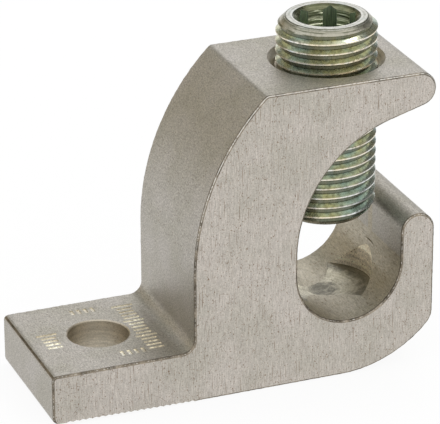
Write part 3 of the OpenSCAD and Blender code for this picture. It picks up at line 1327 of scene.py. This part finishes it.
@dataclass
class Studio:
    """White sweep, soft lamps, dark cards and the camera. Places are in metres from the lug's origin."""

    WHITE = (1.0, 1.0, 1.0)

    floor_side: float = 8.0
    floor_colour: Colour = (0.90, 0.90, 0.90)
    floor_glow: float = 0.90
    sky_fill: float = 1.0
    lamps: tuple[Lamp, ...] = (
        Lamp("key", (0.55, 0.50, 0.80), (0.7, 0.7), 1.4),
        Lamp("front", (0.10, -1.10, 0.26), (1.2, 0.6), 2.95),
        Lamp("glint", (0.390, 0.095, 0.83), (0.16, 0.16), 0.35),
    )
    cards: tuple[Card, ...] = (
        Card("card_back_left", (-0.48, 0.76, 0.24), (1.10, 0.48), (0.47, 0.41, 0.29)),
        Card("card_high_left", (-0.234, 0.606, 0.641), (0.40, 0.36), (0.22, 0.22, 0.16)),
        Card("card_back", (-0.07, 0.86, 0.42), (0.24, 0.40), (0.20, 0.20, 0.16)),
        Card("card_above", (-0.093, 0.200, 0.81), (0.34, 0.34), (0.45, 0.45, 0.36)),
        Card("card_right", (0.67, 0.330, 0.52), (0.74, 0.72), (0.12, 0.12, 0.11)),
    )
    target: Place = (0.000312, 0.0, 0.020575)
    azimuth: float = -21.665
    elevation: float = 23.891
    roll: float = -0.184
    distance: float = 0.39107
    # Focal length in pixels of the photograph, which is 440 pixels wide
    focal_px: float = 3144.1
    frame_px: int = 440
    sensor: float = 36.0
    clip: Span = (0.01, 100.0)

    def build(self) -> None:
        """Makes the whole studio."""
        self.light_world()
        self.lay_floor()
        for lamp in self.lamps:
            self.hang(lamp)
        for card in self.cards:
            self.stand(card)
        self.aim_camera()
        bpy.context.scene.view_settings.view_transform = "Standard"

    @staticmethod
    def seen_directly(w: Wiring) -> Socket:
        """Gives 1 for rays from the camera, mirrors and glass, and 0 for soft light.

        Args:
            w: Wiring of the world or material.

        Returns:
            The value.
        """
        path = w.add("ShaderNodeLightPath").outputs
        seen = w.math("MAXIMUM", path["Is Camera Ray"], path["Is Glossy Ray"])
        return w.math("MAXIMUM", seen, path["Is Transmission Ray"])

    def light_world(self) -> None:
        """Makes a white world that shows as white and fills softly."""
        world = bpy.data.worlds.new("sweep")
        world.use_nodes = True
        bpy.context.scene.world = world
        w = Wiring(world.node_tree)
        w.tree.nodes.clear()
        strength = w.remap(self.seen_directly(w), 0.0, 1.0, self.sky_fill, 1.0)
        sky = w.out("ShaderNodeBackground", {"Color": opaque(self.WHITE), "Strength": strength})
        w.feed(w.add("ShaderNodeOutputWorld").inputs["Surface"], sky)

    def lay_floor(self) -> None:
        """Lays the pale floor, which glows a little where it is looked at and keeps the shadow."""
        w = ShaderWiring("sweep_paper")
        paper = w.out("ShaderNodeBsdfDiffuse", {"Color": opaque(self.floor_colour)})
        share = w.math("MULTIPLY", self.seen_directly(w), self.floor_glow)
        sheet = w.surface(w.out("ShaderNodeMixShader", {0: share, 1: paper, 2: w.glow(self.WHITE)}))
        size = (self.floor_side, self.floor_side)
        flat_panel("sweep_floor", size, Matrix.Identity(4), sheet)

    def hang(self, lamp: Lamp) -> None:
        """Hangs one lamp.

        Args:
            lamp: The lamp.
        """
        light = bpy.data.lights.new(lamp.name, "AREA")
        light.shape = "RECTANGLE"
        light.size, light.size_y = lamp.size
        light.energy = lamp.power
        placed(lamp.name, light).matrix_world = self.facing(lamp.place)

    def stand(self, card: Card) -> None:
        """Stands one card.

        Args:
            card: The card.
        """
        w = ShaderWiring(card.name)
        panel = flat_panel(card.name, card.size, self.facing(card.place), w.surface(w.glow(card.tone)))
        panel.visible_camera = False
        panel.visible_diffuse = False
        panel.visible_shadow = False

    def facing(self, place: Place) -> Matrix:
        """Returns the matrix of a lamp or card that stands at a place and looks at the lug."""
        turn = (Vector(self.target) - Vector(place)).to_track_quat("-Z", "Y")
        return Matrix.Translation(place) @ turn.to_matrix().to_4x4()

    def aim_camera(self) -> None:
        """Puts the camera where the photograph was taken from."""
        azimuth, elevation = math.radians(self.azimuth), math.radians(self.elevation)
        back = Vector((math.sin(azimuth) * math.cos(elevation), -math.cos(azimuth) * math.cos(elevation),
                       math.sin(elevation)))
        right = Vector((math.cos(azimuth), math.sin(azimuth), 0))
        turn = Matrix((right, back.cross(right), back)).transposed().to_4x4()
        lens = bpy.data.cameras.new("camera")
        lens.lens = self.focal_px / self.frame_px * self.sensor
        lens.sensor_width = self.sensor
        lens.clip_start, lens.clip_end = self.clip
        camera = placed("camera", lens)
        camera.matrix_world = (Matrix.Translation(Vector(self.target) + back * self.distance) @ turn
                               @ Matrix.Rotation(math.radians(self.roll), 4, "Z"))
        bpy.context.scene.camera = camera


def flat_panel(name: str, size: Span, where: Matrix, material: Material) -> bpy.types.Object:
    """Makes a flat rectangle.

    Args:
        name: Its name.
        size: Its two sides.
        where: Its place and turn.
        material: Its material.

    Returns:
        The object.
    """
    x, y = size[0] / 2, size[1] / 2
    corner_places = [where @ Vector(c) for c in ((-x, -y, 0), (x, -y, 0), (x, y, 0), (-x, y, 0))]
    mesh = bpy.data.meshes.new(name)
    mesh.from_pydata(corner_places, [], [(0, 1, 2, 3)])
    mesh.materials.append(material)
    return placed(name, mesh)


# Build


def report(piece: bpy.types.Object) -> None:
    """Logs a piece's size and face count."""
    size = ", ".join(f"{side / MM:.2f}" for side in piece.dimensions)
    LOG.info("%s: %s mm, %d faces", piece.name, size, len(piece.data.polygons))


def main() -> None:
    """Builds the studio and the two pieces."""
    logging.basicConfig(level=logging.INFO, format="%(name)s: %(message)s")
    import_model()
    Studio().build()
    thread = Thread()
    rod_tree = thread.rod_tree()
    low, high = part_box("lug_body")
    body = LugBody((high.x - low.x) / MM, (high.y - low.y) / MM, high.z / MM, thread)
    report(body.build(rod_tree))
    low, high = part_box("clamp_screw")
    screw = ClampScrew(low.z / MM, high.z / MM, (high.y - low.y) / 2 / MM, thread)
    report(screw.build(rod_tree))
    bpy.context.view_layer.update()


if __name__ == "__main__":
    main()
